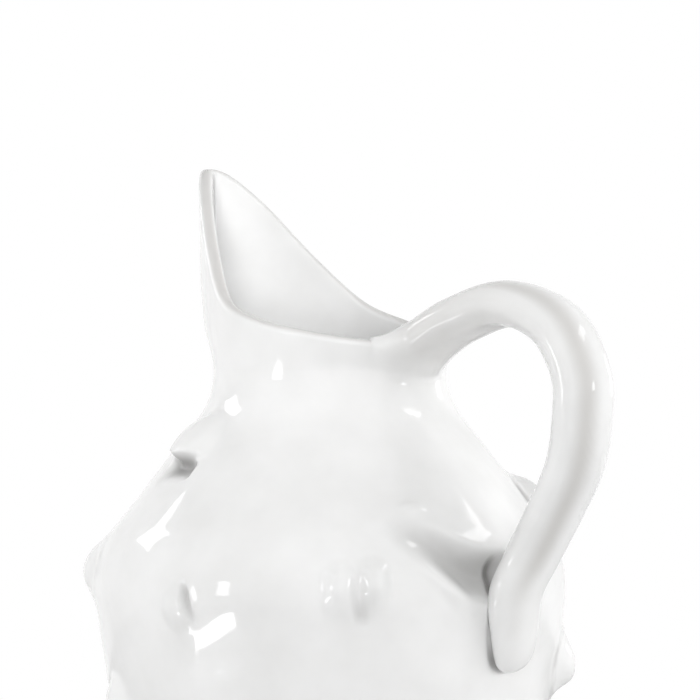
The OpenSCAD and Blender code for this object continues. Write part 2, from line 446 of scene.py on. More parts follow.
def set_place(tree, geometry, chosen, *place):
    return add(tree, "GeometryNodeSetPosition", geometry, chosen, *place)[0]


def shape_of(tree, guide):
    return add(tree, "GeometryNodeObjectInfo", guide)[-1].node.outputs["Geometry"]


def reading(tree, name, kind="FLOAT"):
    return add(tree, "GeometryNodeInputNamedAttribute", name, data_type=kind)[0]


def way_reading(tree, name):
    return reading(tree, name, "FLOAT_VECTOR")


def keep_reading(tree, geometry, name, value, kind="FLOAT"):
    return add(tree, "GeometryNodeStoreNamedAttribute", geometry, True, name, value, data_type=kind)[0]


def keep_way(tree, geometry, name, value):
    return keep_reading(tree, geometry, name, value, "FLOAT_VECTOR")


def finish_tree(tree, geometry, material):
    """Ends a tree: real mesh, smooth faces and the finish."""
    real = add(tree, "GeometryNodeRealizeInstances", geometry)[0]
    smooth = add(tree, "GeometryNodeSetShadeSmooth", real)[0]
    finished = add(tree, "GeometryNodeSetMaterial", smooth, True, material)[0]
    tree.links.new(finished, tree.nodes.new("NodeGroupOutput").inputs[0])


def work_up(piece, tree, **inputs):
    """Puts a node tree on an object, with the named inputs."""
    modifier = piece.modifiers.new(tree.name, "NODES")
    modifier.node_group = tree
    for socket in tree.interface.items_tree:
        if socket.name in inputs:
            modifier[socket.identifier] = inputs[socket.name]


def dress(name, guide, tree, **inputs):
    """An object whose guide lines are worked up by a node tree with the named inputs."""
    piece = put_in_scene(name, guide)
    work_up(piece, tree, **inputs)
    return piece


def settle(piece):
    """Turns a worked-up object into a plain mesh, with no readings but those that the glaze uses."""
    depsgraph = bpy.context.evaluated_depsgraph_get()
    mesh = bpy.data.meshes.new_from_object(piece.evaluated_get(depsgraph), depsgraph=depsgraph)
    piece.modifiers.clear()
    piece.data = mesh
    mesh.name = piece.name
    mesh.materials.clear()
    mesh.materials.append(glaze)
    kinds = ("FLOAT", "FLOAT_VECTOR")
    used = ("position", "custom_normal", "painted_band_shade", "painted_shade")
    spent = [a.name for a in mesh.attributes if a.data_type in kinds and a.name not in used]
    for name in spent:
        mesh.attributes.remove(mesh.attributes[name])
    return piece


# The glaze: thick, white and glossy, the same on every piece. It has a shade where it pools, painted shade
# along the lip's crest and in bands on the strap, darker painted shade in cuts, folds and under ledges, and
# the clay shows where it is wiped off the foot.
glaze_ior = 1.52
noise_detail = 2.0
pooled_grain = 44.0
pooled_detail = 3.0
pooled_shades = ((0.3, (0.765, 0.765, 0.76, 1)), (0.7, (0.832, 0.832, 0.83, 1)))
# Painted shade: a grey along the lip's crest and in bands on the strap, where less light falls.
band_shade_colour = (0.56, 0.55, 0.535, 1)
band_shade_strength = 0.8
# Painted shade: a near black in cuts, folds and under the thorns' ledges, where shade falls.
painted_shade_colour = (0.12, 0.115, 0.11, 1)
painted_shade_strength = 0.9
wiped_grain = 180.0
wiped_low_z = 0.0002
wiped_waver = 0.0012
clay_grain = 900.0
clay_detail = 4.0
clay_shades = ((0, (0.62, 0.53, 0.43, 1)), (1, (0.76, 0.69, 0.59, 1)))
clay_roughness = 0.75
gloss_grain = 60.0
gloss_roughness = 0.035
gloss_waver = 0.05
ripple_grain = 140.0
ripple_strength = 0.12
ripple_depth = 0.0006


def shade_ramp(tree, share, shades):
    """A colour that runs from one shade to another between two places on a ramp."""
    colour = add(tree, "ShaderNodeValToRGB", share)[0]
    for stop, (position, shade) in zip(colour.node.color_ramp.elements, shades):
        stop.position = position
        stop.color = shade
    return colour


def white_glaze():
    """Thick white gloss glaze: pooled a little unevenly, with painted shade in bands and cuts, faintly
    rippled, and wiped off the foot ring.
    """
    material = bpy.data.materials.new("thick_white_glaze")
    material.use_nodes = True
    tree = material.node_tree
    shader = tree.nodes["Principled BSDF"]
    shader.inputs["IOR"].default_value = glaze_ior
    place = add(tree, "ShaderNodeTexCoord")[3]
    pooling = add(tree, "ShaderNodeTexNoise", place, pooled_grain, pooled_detail)[0]
    colour = shade_ramp(tree, pooling, pooled_shades)
    # Painted shade along the lip's crest and in bands on the strap.
    band_shade = add(tree, "ShaderNodeAttribute", attribute_name="painted_band_shade")[2]
    band_shade = times(tree, band_shade, band_shade_strength)
    colour = add(tree, "ShaderNodeMix", band_shade, colour, band_shade_colour, data_type="RGBA")[0]
    # Painted shade in cuts, folds and under the thorns' ledges.
    crevice_shade_share = add(tree, "ShaderNodeAttribute", attribute_name="painted_shade")[2]
    crevice_shade_share = times(tree, crevice_shade_share, painted_shade_strength)
    colour = add(tree, "ShaderNodeMix", crevice_shade_share, colour, painted_shade_colour, data_type="RGBA")[0]
    height = add(tree, "ShaderNodeSeparateXYZ", place)[2]
    wiped_edge = add(tree, "ShaderNodeTexNoise", place, wiped_grain, noise_detail)[0]
    wiped_height = number(tree, "MULTIPLY_ADD", wiped_edge, wiped_waver, wiped_low_z)
    bare = number(tree, "LESS_THAN", height, wiped_height)
    grain = add(tree, "ShaderNodeTexNoise", place, clay_grain, clay_detail)[0]
    clay = shade_ramp(tree, grain, clay_shades)
    surface = add(tree, "ShaderNodeMix", bare, colour, clay, data_type="RGBA")[0]
    tree.links.new(surface, shader.inputs["Base Color"])
    gloss = add(tree, "ShaderNodeTexNoise", place, gloss_grain, noise_detail)[0]
    glazed = number(tree, "MULTIPLY_ADD", gloss, gloss_waver, gloss_roughness)
    rough = number(tree, "MAXIMUM", glazed, times(tree, bare, clay_roughness))
    tree.links.new(rough, shader.inputs["Roughness"])
    ripple = add(tree, "ShaderNodeTexNoise", place, ripple_grain, noise_detail)[0]
    bump = add(tree, "ShaderNodeBump", ripple_strength, ripple_depth, None, ripple)[0]
    tree.links.new(bump, shader.inputs["Normal"])
    return material


glaze = white_glaze()


def smooth_curve(tree, lines, smoothness):
    """Guide lines as curves that run smoothly through their points."""
    curves = add(tree, "GeometryNodeMeshToCurve", lines)[0]
    curves = add(tree, "GeometryNodeCurveSplineType", curves, spline_type="CATMULL_ROM")[0]
    return add(tree, "GeometryNodeSetSplineResolution", curves, True, smoothness)[0]


stroke_smoothness = 40


def pressed_strokes(tree, guide, at):
    """How deep the nearest of a guide's strokes presses the wall at each place, and how much painted shade
    it gets.
    """
    strokes = smooth_curve(tree, shape_of(tree, guide), stroke_smoothness)
    strokes = add(tree, "GeometryNodeCurveToPoints", strokes, mode="EVALUATED")[0]
    nearest = add(tree, "GeometryNodeSampleNearest", strokes, at)[0]
    point_at = here(tree)
    stroke_at = add(tree, "GeometryNodeSampleIndex", strokes, point_at, nearest, data_type="FLOAT_VECTOR")[0]
    width = add(tree, "GeometryNodeSampleIndex", strokes, reading(tree, "width"), nearest)[0]
    depth = add(tree, "GeometryNodeSampleIndex", strokes, reading(tree, "depth"), nearest)[0]
    off = vector(tree, "LENGTH", vector(tree, "SUBTRACT", at, stroke_at))
    off = number(tree, "MINIMUM", number(tree, "DIVIDE", off, width), 1.0)
    # The stroke's painted shade, fading out to its edge like its depth.
    bare = add(tree, "GeometryNodeSampleIndex", strokes, reading(tree, "bare"), nearest)[0]
    hollow = number(tree, "POWER", minus(tree, 1.0, times(tree, off, off)), 2.0)
    return times(tree, hollow, depth), times(tree, hollow, bare)


def vessel_tree():
    """Throws the section round the axis and draws its neck out to the lip wire."""
    tree, given = new_tree(
        "vessel",
        LipWire="Object",
        LipRadius="Float",
        WaistHeight="Float",
        RisePower="Float",
        StartPower="Float",
        Unevenness="Float",
        UnevenSpread="Float",
        WallThickness="Float",
        ThumbStrokes="Object",
        ToolStrokes="Object",
        Seed="Float",
        Glaze="Material",
    )
    wire = add(tree, "GeometryNodeMeshToCurve", shape_of(tree, given["LipWire"]))[0]
    wire = keep_way(tree, wire, "lip_at", here(tree))
    along = add(tree, "GeometryNodeInputTangent")[0]
    outward = unit(tree, vector(tree, "CROSS_PRODUCT", along, (0, 0, 1)))
    wire = keep_way(tree, wire, "lip_out", outward)
    line = add(tree, "GeometryNodeMeshToCurve", given["Geometry"])[0]
    wall = add(tree, "GeometryNodeCurveToMesh", wire, line)[0]

    lip_at = way_reading(tree, "lip_at")
    lip_out = way_reading(tree, "lip_out")
    neck_share = reading(tree, "neck_share")
    thrown = scaled(tree, spoke_to(tree, lip_at), reading(tree, "round_r"))
    thrown = moved(tree, thrown, straight_up(tree, reading(tree, "round_z")))
    side = times(tree, reading(tree, "lip_side"), given["LipRadius"])
    top = minus(tree, reading(tree, "lip_top"), 1.0)
    top = times(tree, top, given["LipRadius"])
    edge = moved(tree, lip_at, scaled(tree, lip_out, side))
    edge = moved(tree, edge, straight_up(tree, top))
    edge_z = add(tree, "ShaderNodeSeparateXYZ", edge)[2]
    full_rise = minus(tree, edge_z, given["WaistHeight"])
    power = ranged(tree, full_rise, low_rise, high_rise, low_rise_power, given["RisePower"])
    left_over = number(tree, "POWER", minus(tree, 1.0, neck_share), power)
    flare = number(tree, "POWER", minus(tree, 1.0, left_over), given["StartPower"])
    drawn = mixed(tree, flare, thrown, edge)
    drawn_level = vector(tree, "MULTIPLY", drawn, (1, 1, 0))
    rise = times(tree, full_rise, neck_share)
    height = plus(tree, reading(tree, "round_z"), rise)
    drawn_up = moved(tree, drawn_level, straight_up(tree, height))
    wall = set_place(tree, wall, True, drawn_up)
    wall = add(tree, "GeometryNodeMergeByDistance", wall, True, merge_gap)[0]
    wall = add(tree, "GeometryNodeFlipFaces", wall)[0]

    at = here(tree)
    spoke = spoke_to(tree, at)
    scale = number(tree, "DIVIDE", 1.0, given["UnevenSpread"])
    noise = add(tree, "ShaderNodeTexNoise", at, given["Seed"], scale, uneven_detail, noise_dimensions="4D")
    height = add(tree, "ShaderNodeSeparateXYZ", at)[2]
    above_foot = ranged(tree, height, even_below_z, uneven_above_z)
    below_lip = minus(tree, 1.0, number(tree, "POWER", reading(tree, "neck_share"), 2.0))
    amount = minus(tree, noise[0], uneven_middle)
    amount = times(tree, amount, given["Unevenness"], above_foot, below_lip)
    # Painted shade along the crest of the lip.
    band_shade = eased(tree, reading(tree, "lip_top"), lip_shade_from, 1.0)
    wall = keep_reading(tree, wall, "painted_band_shade", band_shade)
    outside = number(tree, "GREATER_THAN", reading(tree, "skin"), 0.5)
    in_depth = times(tree, minus(tree, 1.0, outside), given["WallThickness"])
    at_skin = moved(tree, at, scaled(tree, spoke, in_depth))
    thumb_depth, thumb_painted_shade = pressed_strokes(tree, given["ThumbStrokes"], at_skin)
    tool_depth, tool_painted_shade = pressed_strokes(tree, given["ToolStrokes"], at_skin)
    # Painted shade in the strokes' hollows and folds, on the outside of the wall only.
    bare = number(tree, "MAXIMUM", thumb_painted_shade, tool_painted_shade)
    wall = keep_reading(tree, wall, "painted_shade", times(tree, bare, outside))
    amount = minus(tree, amount, plus(tree, thumb_depth, tool_depth))
    wall = set_place(tree, wall, True, None, scaled(tree, spoke, amount))
    finish_tree(tree, wall, given["Glaze"])
    return tree


vessel = dress(
    "vessel",
    wall_section,
    vessel_tree(),
    LipWire=lip_wire,
    LipRadius=lip_r,
    WaistHeight=waist_z,
    RisePower=float(rise_power),
    StartPower=float(start_power),
    Unevenness=unevenness,
    UnevenSpread=uneven_spread,
    WallThickness=wall_t,
    ThumbStrokes=thumb_lines,
    ToolStrokes=tool_lines,
    Seed=uneven_seed,
    Glaze=glaze,
)
settle(vessel)
bpy.data.objects.remove(lip_wire)
bpy.data.objects.remove(thumb_lines)
bpy.data.objects.remove(tool_lines)
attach(vessel, "root")
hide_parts("base", "lower_wall", "shoulder", "neck_and_beak")


# The thorns: small pinches of clay in staggered rows round the belly, each pressed on by thumb so that
# its skirt runs out into the wall. The same clay as the wall, under the same glaze.
thorn_names = [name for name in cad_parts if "_thorn_" in name]
thorn_skirt_r = 0.0168
thorn_h = 0.0057
thorn_sink = 0.00012
thorn_root = 0.0014
thorn_bed = 0.0006
nominal_diagonal = 0.0256
thorn_lumps = 0.16
lump_grain = 1.1
lump_detail = 1.0
lump_seed = 2.0
lump_seed_step = 7.3
sink_power = 6.0
# How far a thorn's face turns down before it takes all the wall's painted shade under it.
shade_under_tilt = 0.4
thorn_seam = 0.0014
cast_height = 0.02
rim_slack = 0.0001
thorn_steps = 26
thorn_columns = 44
thorn_profile = (
    (0, 1),
    (0.1, 0.98),
    (0.2, 0.9),
    (0.3, 0.74),
    (0.42, 0.48),
    (0.56, 0.22),
    (0.7, 0.08),
    (0.85, 0.018),
    (1, 0),
)
thorn_middles = []
thorn_sizes = []
for name in thorn_names:
    low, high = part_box(name)
    thorn_middles.append((low + high) / 2)
    thorn_sizes.append((high - low).length / nominal_diagonal)

# How single thorns were bent by the thumb: lean to the right and up, steepness on the side they lean to,
# fullness on the other side, share of the width, share of the length up the wall and share of the height.
# Any other thorn hangs a little.
bend_kinds = ("lean", "droop", "steep", "full", "wide", "long", "high")
usual_bend = (0, -0.15, 0.15, 0, 1, 1, 1)
thorn_bends = {
    "shoulder_thorn_1": (0, -0.52, 2.2, 1.1, 1.15, 1.3, 1.05),
    "shoulder_thorn_2": (0, -0.1, 0, 0, 1, 0.6, 0.35),
    "belly_thorn_1": (0, -0.1, 0, 0, 1.3, 1.2, 0.85),
    "belly_thorn_2": (0.2, 0, 0.2, 0, 0.85, 1.05, 0.5),
    "belly_thorn_3": (0, 0.05, 0, 0, 1.05, 1.1, 0.2),
}
bends = [thorn_bends.get(name, usual_bend) for name in thorn_names]
thorn_points = guide_line(
    "thorn_points",
    thorn_middles,
    tilt=[wall_tilt(middle.z) for middle in thorn_middles],
    size=thorn_sizes,
    pick=range(len(thorn_names)),
    **dict(zip(bend_kinds, zip(*bends))),
)


def seat_on(tree, points, wall):
    """Moves points to the nearest place on a wall and keeps where they sit and which way they stand."""
    nearest = add(tree, "GeometryNodeProximity", wall, target_element="FACES")[0]
    points = set_place(tree, points, True, nearest)
    at = here(tree)
    tilt = straight_up(tree, reading(tree, "tilt"))
    stand = unit(tree, moved(tree, spoke_to(tree, at), tilt))
    points = keep_way(tree, points, "seat", at)
    return keep_way(tree, points, "stand", stand)


def ball_on_points(tree, points, columns, steps):
    """A ball at each point as real mesh, which keeps its own round shape as a reading."""
    ball = add(tree, "GeometryNodeMeshUVSphere", columns, steps, 1.0)[0]
    ball = keep_way(tree, ball, "ball", here(tree))
    balls = add(tree, "GeometryNodeInstanceOnPoints", points, True, ball)[0]
    return add(tree, "GeometryNodeRealizeInstances", balls)[0]


def cast_on(tree, wall, start, way, length):
    """What a ray hits on a wall: whether it hits, the place and the wall's normal there."""
    cast = tree.nodes.new("GeometryNodeRaycast")
    tree.links.new(wall, cast.inputs["Target Geometry"])
    tree.links.new(start, cast.inputs["Source Position"])
    tree.links.new(way, cast.inputs["Ray Direction"])
    cast.inputs["Ray Length"].default_value = length
    return cast.outputs


def wall_reading(tree, wall, value, place=None, kind="FLOAT_VECTOR"):
    """A value of a wall's skin, read at the nearest point to each place."""
    return add(tree, "GeometryNodeSampleNearestSurface", wall, value, None, place, data_type=kind)[0]


def ways_on_wall(tree, stand):
    """The level way along a wall and the way up it, where a piece stands on it."""
    across = unit(tree, vector(tree, "CROSS_PRODUCT", (0, 0, 1), stand))
    return across, vector(tree, "CROSS_PRODUCT", stand, across)


def lay_ball(tree, wall, wide, tall):
    """Where each point of a flattened ball lies on a wall: place, wall's normal, way out and upper half."""
    seat = way_reading(tree, "seat")
    stand = way_reading(tree, "stand")
    ball = way_reading(tree, "ball")
    across, upward = ways_on_wall(tree, stand)
    level_x, level_y, _ = add(tree, "ShaderNodeSeparateXYZ", spoke_to(tree, ball))
    ball_z = add(tree, "ShaderNodeSeparateXYZ", ball)[2]
    steep = number(tree, "ARCCOSINE", number(tree, "MINIMUM", number(tree, "ABSOLUTE", ball_z), 1.0))
    way_out = times(tree, steep, 2 / math.pi)
    step_x = times(tree, level_x, way_out, wide)
    step_y = times(tree, level_y, way_out, tall)
    flat = moved(tree, scaled(tree, across, step_x), scaled(tree, upward, step_y))
    flat = moved(tree, seat, flat)
    above = moved(tree, flat, scaled(tree, stand, cast_height))
    hit = cast_on(tree, wall, above, scaled(tree, stand, -1.0), 2 * cast_height)
    nearest = add(tree, "GeometryNodeProximity", wall, None, flat, target_element="FACES")[0]
    nearest_square = wall_reading(tree, wall, normal_here(tree), flat)
    place = mixed(tree, hit["Is Hit"], nearest, hit["Hit Position"])
    square = mixed(tree, hit["Is Hit"], nearest_square, hit["Hit Normal"])
    upper = number(tree, "GREATER_THAN", ball_z, -rim_slack)
    return place, square, way_out, upper


def height_curve(tree, share, points):
    """A curve through the given points as a node."""
    node = tree.nodes.new("ShaderNodeFloatCurve")
    tree.links.new(share, node.inputs["Value"])
    curve = node.mapping.curves[0]
    for _ in points[2:]:
        curve.points.new(0.5, 0.5)
    for knot, place in zip(curve.points, points):
        knot.location = place
    node.mapping.update()
    return node.outputs[0]


def gap_to(tree, wall):
    return add(tree, "GeometryNodeProximity", wall, target_element="FACES")[1]


def blend_into(tree, piece, wall, seam):
    """Turns the shading of a piece into the wall's where the piece runs out on the wall."""
    square = normal_here(tree)
    wall = keep_way(tree, wall, "wall_square", square)
    wall_square = wall_reading(tree, wall, way_reading(tree, "wall_square"))
    share = eased(tree, gap_to(tree, wall), 0.0, seam, 1.0, 0.0)
    blended = unit(tree, mixed(tree, share, square, wall_square))
    return add(tree, "GeometryNodeSetMeshNormal", piece, blended, mode="FREE")[0]


def thorn_tree():
    """Presses a thorn on the wall at every point."""
    tree, given = new_tree(
        "thorns",
        Wall="Object",
        Columns="Int",
        Steps="Int",
        Skirt="Float",
        Height="Float",
        Sink="Float",
        Root="Float",
        Bed="Float",
        Lumps="Float",
        Seam="Float",
        Seed="Float",
        Glaze="Material",
    )
    wall = shape_of(tree, given["Wall"])
    points = seat_on(tree, given["Geometry"], wall)
    thorns = ball_on_points(tree, points, given["Columns"], given["Steps"])
    size = reading(tree, "size")
    skirt = times(tree, size, given["Skirt"])
    wide = times(tree, skirt, reading(tree, "wide"))
    long = times(tree, skirt, reading(tree, "long"))
    place, square, way_out, upper = lay_ball(tree, wall, wide, long)
    ball = way_reading(tree, "ball")
    turn = times(tree, reading(tree, "pick"), lump_seed_step)
    turn = plus(tree, given["Seed"], turn)
    noise = add(tree, "ShaderNodeTexNoise", ball, turn, lump_grain, lump_detail, noise_dimensions="4D")
    lump = times(tree, minus(tree, noise[0], 0.5), given["Lumps"])
    bend = add(tree, "ShaderNodeCombineXYZ", reading(tree, "lean"), reading(tree, "droop"), 0.0)[0]
    lean_side = vector(tree, "DOT_PRODUCT", spoke_to(tree, ball), unit(tree, bend))
    below = times(tree, number(tree, "MAXIMUM", lean_side, 0.0), reading(tree, "steep"))
    beyond = times(tree, number(tree, "MINIMUM", lean_side, 0.0), reading(tree, "full"))
    beyond = times(tree, beyond, minus(tree, 1.0, way_out))
    shaping = plus(tree, plus(tree, lump, below), beyond)
    shaped_way = times(tree, way_out, plus(tree, shaping, 1.0))
    shaped_way = number(tree, "MINIMUM", shaped_way, 1.0)
    rise = height_curve(tree, shaped_way, thorn_profile)
    full_height = times(tree, size, reading(tree, "high"), given["Height"])
    tall = times(tree, rise, full_height)
    sunk_rim = times(tree, number(tree, "POWER", way_out, sink_power), given["Sink"])
    tall = minus(tree, tall, sunk_rim)
    stand = way_reading(tree, "stand")
    across, upward = ways_on_wall(tree, stand)
    hang = scaled(tree, upward, reading(tree, "droop"))
    hang = moved(tree, hang, scaled(tree, across, reading(tree, "lean")))
    bent = moved(tree, stand, scaled(tree, hang, rise))
    pinched = moved(tree, place, scaled(tree, bent, tall))
    inner = minus(tree, 1.0, number(tree, "POWER", way_out, 2.0))
    deep = plus(tree, times(tree, inner, given["Root"]), given["Bed"])
    rooted = vector(tree, "SUBTRACT", place, scaled(tree, square, deep))
    pressed = mixed(tree, upper, rooted, pinched)
    # Painted shade: the wall's shade carried onto each thorn, and more under it where its face turns down.
    bare = wall_reading(tree, wall, reading(tree, "painted_shade"), place, "FLOAT")
    thorns = keep_reading(tree, thorns, "painted_shade", bare)
    thorns = set_place(tree, thorns, True, pressed)
    facing_up = add(tree, "ShaderNodeSeparateXYZ", normal_here(tree))[2]
    under = ranged(tree, facing_up, 0.0, -shade_under_tilt)
    bare = wall_reading(tree, wall, reading(tree, "painted_shade"), None, "FLOAT")
    bare = number(tree, "MAXIMUM", reading(tree, "painted_shade"), times(tree, bare, under))
    thorns = keep_reading(tree, thorns, "painted_shade", bare)
    thorns = blend_into(tree, thorns, wall, given["Seam"])
    finish_tree(tree, thorns, given["Glaze"])
    return tree


thorns = dress(
    "thorns",
    thorn_points,
    thorn_tree(),
    Wall=vessel,
    Columns=thorn_columns,
    Steps=2 * thorn_steps,
    Skirt=thorn_skirt_r,
    Height=thorn_h,
    Sink=thorn_sink,
    Root=thorn_root,
    Bed=thorn_bed,
    Lumps=thorn_lumps,
    Seam=thorn_seam,
    Seed=lump_seed,
    Glaze=glaze,
)
settle(thorns)
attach(thorns, "root")
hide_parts(*thorn_names)


# The handle: one thick strap of clay, pulled by hand, hung from the lip and thumbed down on the belly.
# Both ends are worked into the wall with slip, so the joints are soft and the glaze runs over them.
handle_low, handle_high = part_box("handle")
strap_t = 0.0146
strap_w = 0.0232
handle_slack = 0.0004
strap_reach = handle_high.x - strap_t / 2 - handle_slack
strap_top_z = handle_high.z - strap_t / 2
pad_end_share = 0.35
strap_end_z = handle_low.z + pad_end_share * strap_w
strap_sink = 0.002
strap_fillet = 0.0075
under_share = 0.3
fillet_turn = 0.6
press_from = 0.3
press_reach = 0.29
strap_columns = 48
strap_steps = 150
strap_smoothness = 24
strap_grain = 0.0007
softening_rounds = 6
softening_factor = 0.5
groove_depth = 0.0011
groove_side = -0.25
groove_half_w = 0.4
pad_seam = 0.0006
pad_seam_z = 0.115
root_seam = 0.0026
root_seam_z = 0.14
handle_middle = (0.066, 0.0, 0.135)

# Painted shade on the strap, where less light falls: along a ridge on its outside, clear of the wall, and on
# the arch, where that fades out away from the lip.
ridge_side = -0.36
ridge_width = 0.42
ridge_shade = 1.0
ridge_turn = (0.1, 0.5)
ridge_gap = (0.004, 0.02)
arch_shade = 0.5
arch_x = (0.055, 0.1)
arch_gap = (0.001, 0.008)
arch_z = (0.14, 0.165)

# From the lip to the pad: share of the way out from the wall, share of the height, thickness, width,
# sideways set and the fillets that run out on the near and the far side.
strap_shares = (
    (-0.2, 0.77, 1.05, 1.15, 0, 1.2, 1.2),
    (-0.04, 0.848, 1.03, 1.14, 0, 1.2, 1.2),
    (0.08, 0.903, 1.02, 1.1, 0, 1.1, 1.1),
    (0.27, 0.96, 1.02, 1.04, 0, 0.6, 0.6),
    (0.553, 1, 1, 1, 0, 0.5, 0.5),
    (0.845, 0.94, 1.03, 1.02, 0, 0.5, 0.5),
    (0.99, 0.805, 1, 1, 0, 0.5, 0.5),
    (1, 0.68, 1, 1, 0, 0.5, 0.5),
    (0.94, 0.54, 0.99, 0.98, 0, 0.5, 0.5),
    (0.7, 0.4, 0.97, 0.94, 0, 0.4, 0.6),
    (0.37, 0.285, 0.95, 0.92, -0.03, 0.1, 1),
    (0.15, 0.19, 0.9, 0.9, -0.14, 0.05, 1.2),
    (0.09, 0.11, 0.8, 0.86, -0.12, 0.05, 1.2),
    (0.07, 0.055, 0.72, 0.8, -0.06, 0.05, 1),
    (0.06, 0.01, 0.62, 0.74, -0.02, 0.05, 0.8),
    (0.045, -0.022, 0.48, 0.65, 0, 0.05, 0.5),
    (0.02, -0.044, 0.3, 0.48, 0, 0.05, 0.3),
    (-0.02, -0.054, 0.1, 0.18, 0, 0.05, 0.2),
)
strap_points = []
for out_share, height_share, _, _, side_share, _, _ in strap_shares:
    z = strap_end_z + height_share * (strap_top_z - strap_end_z)
    r = wall_radius(z)
    strap_points.append((r + out_share * (strap_reach - r), side_share * strap_w, z))
strap_line = guide_line(
    "strap_line",
    strap_points,
    half_t=[s[2] * strap_t / 2 for s in strap_shares],
    half_w=[s[3] * strap_w / 2 for s in strap_shares],
    near_fillet=[s[5] * strap_fillet for s in strap_shares],
    far_fillet=[s[6] * strap_fillet for s in strap_shares],
    groove=[math.sin(math.pi * share) for share in spread(0, 1, len(strap_shares) - 1)],
)

# The film of slip that is brushed over the wall round the upper joint. It dips under the skin at its edge.
slip_z = 0.158
slip_half_w = 0.036
slip_half_h = 0.021
slip_film = 0.0003
slip_edge = 0.0006
slip_depth = 0.0024
slip_flat_share = 0.45
slip_columns = 64
slip_steps = 48
slip_point = guide_line(
    "slip_point",
    [(waist_r, 0, slip_z)],
    tilt=[wall_tilt(slip_z)],
    wide=[slip_half_w],
    tall=[slip_half_h],
)
slip_place = put_in_scene("slip_place", slip_point)


def handle_tree():
    """Pulls the strap along its line, works its ends out over the wall, presses them on and adds slip."""
    tree, given = new_tree(
        "handle",
        Wall="Object",
        Columns="Int",
        Steps="Int",
        Sink="Float",
        GrooveDepth="Float",
        UnderShare="Float",
        LipHeight="Float",
        SlipPlace="Object",
        SlipFilm="Float",
        SlipEdge="Float",
        SlipDepth="Float",
        Glaze="Material",
    )
    wall = shape_of(tree, given["Wall"])
    line = smooth_curve(tree, given["Geometry"], strap_smoothness)
    line = add(tree, "GeometryNodeResampleCurve", line, True, given["Steps"]).pop()
    line = keep_way(tree, line, "path_at", here(tree))
    along = add(tree, "GeometryNodeInputTangent")[0]
    line = keep_way(tree, line, "path_along", along)
    ring = add(tree, "GeometryNodeCurvePrimitiveCircle", given["Columns"])[0]
    ring_x, ring_y, _ = add(tree, "ShaderNodeSeparateXYZ", here(tree))
    ring = keep_reading(tree, ring, "ring_t", ring_x)
    ring = keep_reading(tree, ring, "ring_w", ring_y)
    strap = add(tree, "GeometryNodeCurveToMesh", line, ring)[0]
    strap.node.inputs["Fill Caps"].default_value = True
    along = way_reading(tree, "path_along")
    across = unit(tree, vector(tree, "CROSS_PRODUCT", (0, 1, 0), along))
    from_groove = minus(tree, reading(tree, "ring_w"), groove_side)
    from_groove = number(tree, "ABSOLUTE", number(tree, "DIVIDE", from_groove, groove_half_w))
    from_groove = number(tree, "MINIMUM", from_groove, 1.0)
    groove = minus(tree, 1.0, times(tree, from_groove, from_groove))
    outside = number(tree, "GREATER_THAN", reading(tree, "ring_t"), 0.0)
    groove = times(tree, number(tree, "POWER", groove, 2.0), reading(tree, "groove"), outside)
    groove = times(tree, groove, given["GrooveDepth"])
    step_t = times(tree, reading(tree, "ring_t"), reading(tree, "half_t"))
    step_t = minus(tree, step_t, groove)
    step_w = times(tree, reading(tree, "ring_w"), reading(tree, "half_w"))
    swept = way_reading(tree, "path_at")
    swept = moved(tree, swept, scaled(tree, across, step_t))
    swept = moved(tree, swept, add(tree, "ShaderNodeCombineXYZ", 0.0, step_w, 0.0)[0])
    strap = set_place(tree, strap, True, swept)
    far = ranged(tree, reading(tree, "ring_w"), -fillet_turn, fillet_turn)
    fillet = add(tree, "ShaderNodeMix", far, reading(tree, "near_fillet"), reading(tree, "far_fillet"))[0]
    under = ranged(tree, reading(tree, "ring_t"), 0.0, 1.0, 1.0, given["UnderShare"])
    fillet = times(tree, fillet, under)
    short = minus(tree, fillet, number(tree, "MINIMUM", gap_to(tree, wall), fillet))
    bow = minus(tree, number(tree, "POWER", fillet, 2.0), number(tree, "POWER", short, 2.0))
    run_out = minus(tree, fillet, number(tree, "SQRT", bow))
    square = normal_here(tree)
    skin_square = wall_reading(tree, wall, square)
    lean = vector(tree, "DOT_PRODUCT", square, skin_square)
    over_wall = vector(tree, "SUBTRACT", square, scaled(tree, skin_square, lean))
    worked_out = scaled(tree, unit(tree, over_wall), run_out)
    strap = set_place(tree, strap, True, None, worked_out)

    at = here(tree)
    spoke = spoke_to(tree, at)
    height = vector(tree, "MULTIPLY", at, (0, 0, 1))
    below_lip = vector(tree, "MINIMUM", height, straight_up(tree, given["LipHeight"]))
    start = moved(tree, scaled(tree, spoke, press_from), below_lip)
    hit = cast_on(tree, wall, start, scaled(tree, spoke, -1.0), press_reach)
    skin = vector(tree, "LENGTH", vector(tree, "MULTIPLY", hit["Hit Position"], (1, 1, 0)))
    reach = vector(tree, "LENGTH", vector(tree, "MULTIPLY", at, (1, 1, 0)))
    pressed = number(tree, "MAXIMUM", reach, minus(tree, skin, given["Sink"]))
    spot = moved(tree, scaled(tree, spoke, pressed), height)
    strap = set_place(tree, strap, hit["Is Hit"], spot)

    slip = seat_on(tree, shape_of(tree, given["SlipPlace"]), wall)
    slip = ball_on_points(tree, slip, slip_columns, slip_steps)
    place, square, way_out, upper = lay_ball(tree, wall, reading(tree, "wide"), reading(tree, "tall"))
    film = eased(tree, way_out, slip_flat_share, 1.0, given["SlipFilm"], given["SlipEdge"])
    lift = add(tree, "ShaderNodeMix", upper, given["SlipDepth"], film)[0]
    spot = moved(tree, place, scaled(tree, square, lift))
    slip = set_place(tree, slip, True, spot)
    joined = tree.nodes.new("GeometryNodeJoinGeometry")
    tree.links.new(slip, joined.inputs[0])
    tree.links.new(strap, joined.inputs[0])
    finish_tree(tree, joined.outputs[0], given["Glaze"])
    return tree


